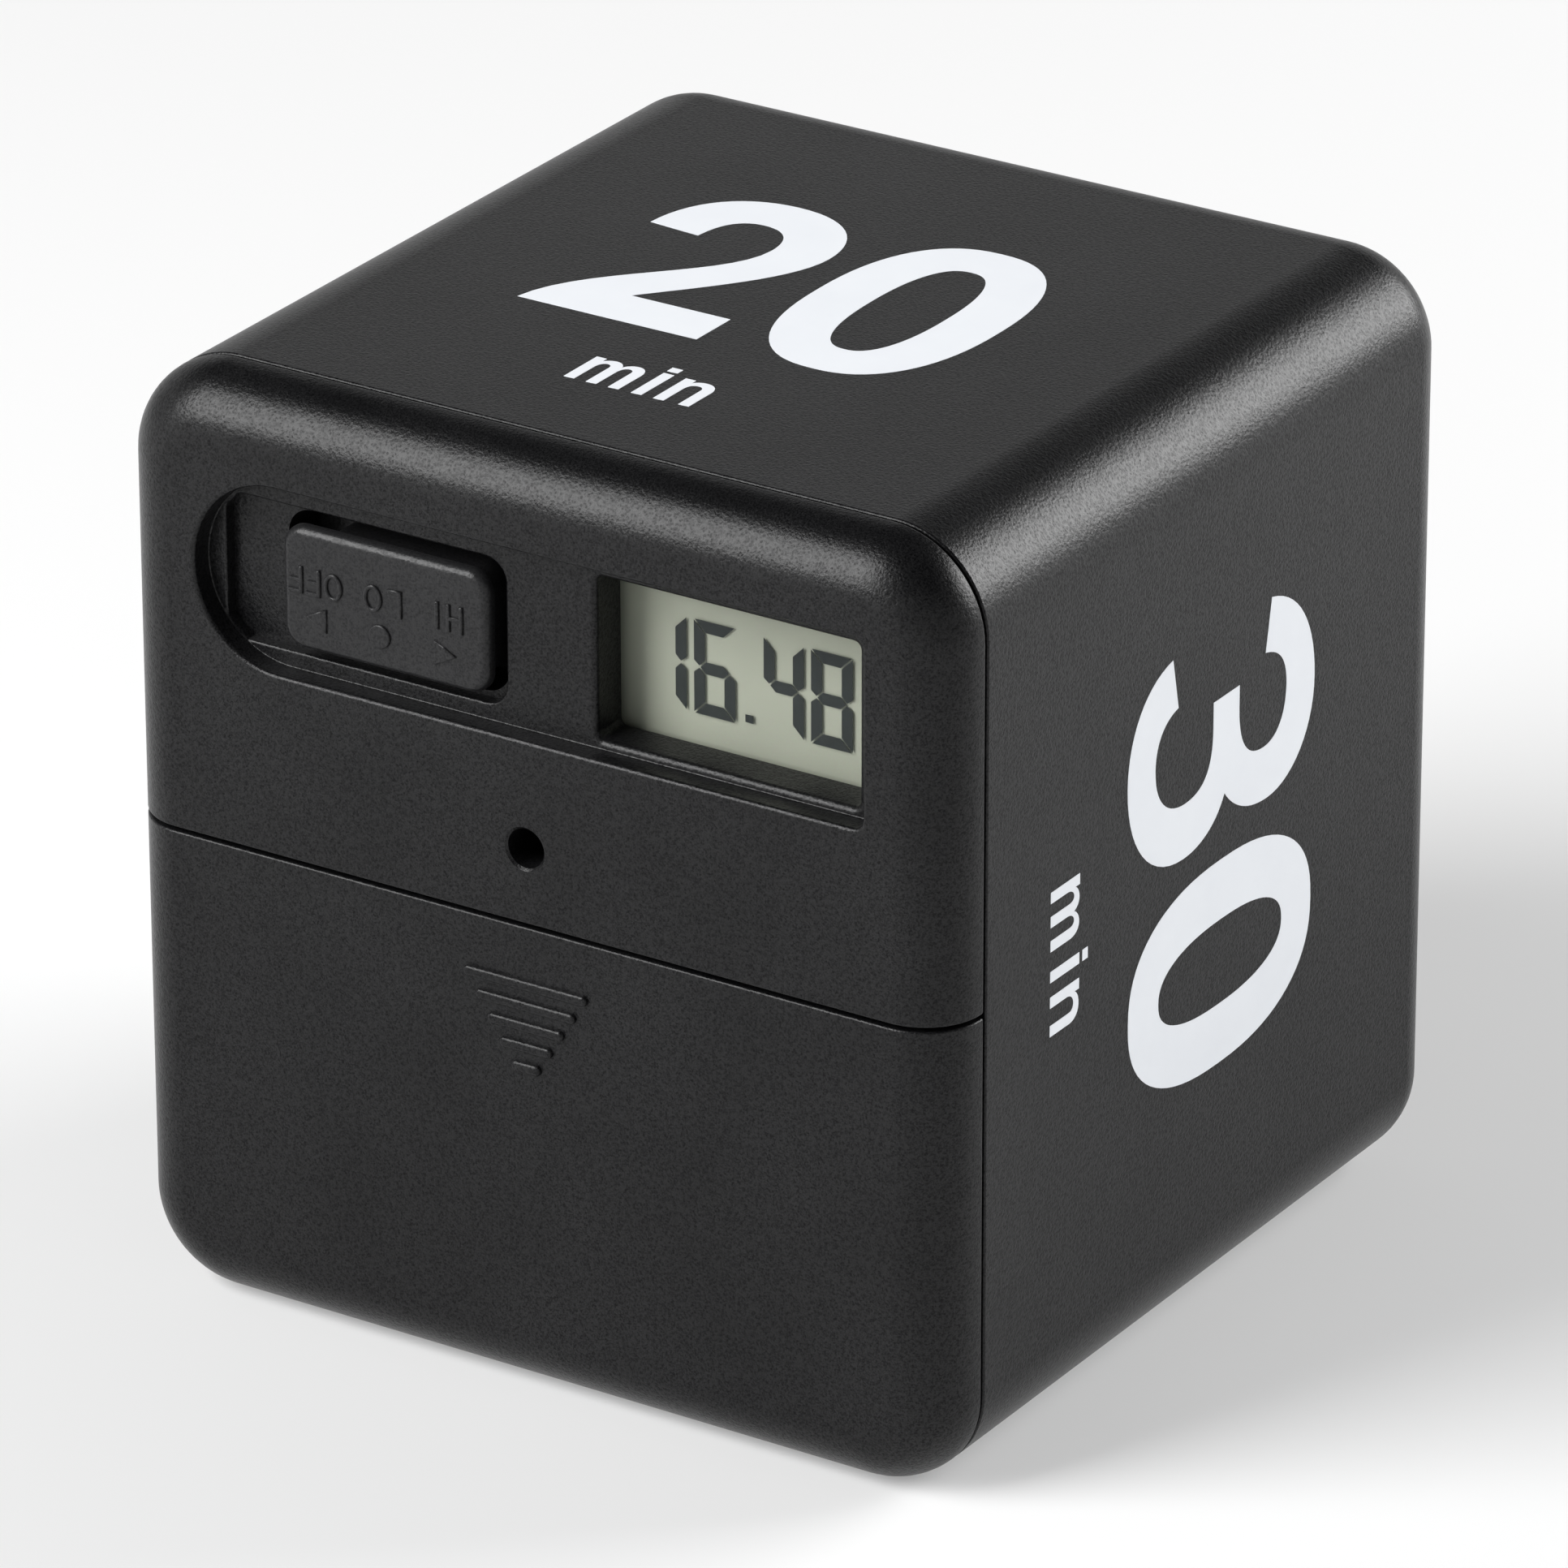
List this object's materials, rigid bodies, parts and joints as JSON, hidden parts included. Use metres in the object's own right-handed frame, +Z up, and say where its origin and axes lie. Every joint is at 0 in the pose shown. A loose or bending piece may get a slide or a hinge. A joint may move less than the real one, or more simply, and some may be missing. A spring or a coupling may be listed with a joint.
{
  "type": "cube visual timer",
  "caption": "Cube countdown timer with a display window, sliding volume switch, sound hole and sliding battery door. The face turned up picks the time.",
  "frame": {"origin": "middle of the bounding box, on the surface that the timer stands on", "axes": "+Z up, -Y towards the face with the display, +X to the right when looking at the display"},
  "size_m": [0.06, 0.0604, 0.0627],
  "materials": {
    "black_abs": "moulded, fine leather-like grain, satin",
    "black_inner_abs": "moulded, plain",
    "display_glass": "clear, polished",
    "display_reflector": "pearly grey-green film",
    "zebra_rubber": "striped elastomer",
    "board_green": "solder mask on glass fibre board",
    "black_epoxy": "cured drop, glossy",
    "nickel_steel": "nickel plated",
    "chip_ceramic": "fired ceramic",
    "cell_sleeve": "printed foil sleeve",
    "red_vinyl": "wire insulation",
    "black_vinyl": "wire insulation"
  },
  "bodies": {
    "housing": {"rear_shell": "black_abs", "front_panel": "black_abs", "slide_switch_body": "nickel_steel", "lcd_glass": "display_glass", "lcd_reflector": "display_reflector", "lcd_holder": "black_inner_abs", "zebra_strip_lower": "zebra_rubber", "zebra_strip_upper": "zebra_rubber", "circuit_board": "board_green", "chip_blob": "black_epoxy", "quartz_crystal": "nickel_steel", "tilt_switch_level": "nickel_steel", "tilt_switch_upright": "nickel_steel", "chip_part_1": "chip_ceramic", "chip_part_2": "chip_ceramic", "chip_part_3": "chip_ceramic", "chip_part_4": "chip_ceramic", "buzzer": "black_inner_abs", "board_screw_1": "nickel_steel", "board_screw_2": "nickel_steel", "board_screw_3": "nickel_steel", "frame_screw_1": "nickel_steel", "frame_screw_2": "nickel_steel", "frame_screw_3": "nickel_steel", "frame_screw_4": "nickel_steel", "battery_tray": "black_inner_abs", "battery_upper": "cell_sleeve", "battery_lower": "cell_sleeve", "spring_upper": "nickel_steel", "spring_lower": "nickel_steel", "plus_plate_upper": "nickel_steel", "plus_plate_lower": "nickel_steel", "minus_plate_upper": "nickel_steel", "minus_plate_lower": "nickel_steel", "lead_red": "red_vinyl", "lead_black": "black_vinyl"},
    "cap": {"switch_cap": "black_abs", "slide_switch_lever": "black_inner_abs"},
    "door": {"battery_door": "black_abs"}
  },
  "joints": [
    {"name": "switch_slide", "type": "slide", "parent": "housing", "child": "cap", "axis": [-1, 0, 0], "range_m": [0, 0.0024]},
    {"name": "door_slide", "type": "slide", "parent": "housing", "child": "door", "axis": [0, 0, -1], "range_m": [0, 0.032]}
  ]
}
